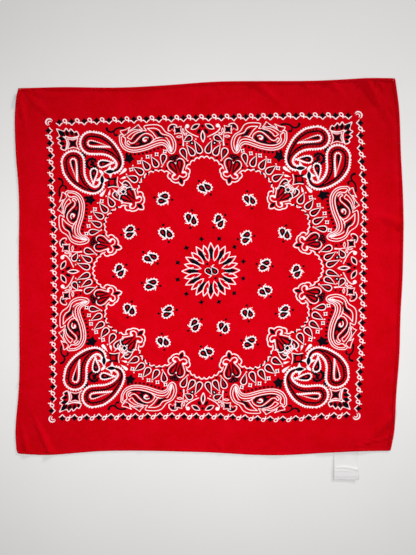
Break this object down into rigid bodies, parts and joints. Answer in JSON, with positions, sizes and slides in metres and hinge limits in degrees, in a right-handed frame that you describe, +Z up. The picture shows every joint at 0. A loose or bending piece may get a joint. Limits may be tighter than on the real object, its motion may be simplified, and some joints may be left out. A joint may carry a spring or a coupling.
{
  "type": "bandana",
  "caption": "Square cotton bandana laid out flat, with rolled hems and a folded label at one edge.",
  "frame": {"origin": "middle of the footprint, label included, on the surface that the cloth lies on", "axes": "+Z up from the table through the cloth, +Y from the labelled edge to the far edge, +X to the right of someone who stands at the labelled edge"},
  "size_m": [0.5678, 0.5852, 0.0061],
  "materials": {
    "red_cotton": "plain-woven cotton with a white and black print",
    "white_tape": "soft white label tape"
  },
  "bodies": {
    "root": {"panel": "red_cotton", "hem_top": "red_cotton", "hem_right": "red_cotton", "hem_bottom": "red_cotton", "hem_left": "red_cotton", "care_label": "white_tape"}
  },
  "joints": []
}
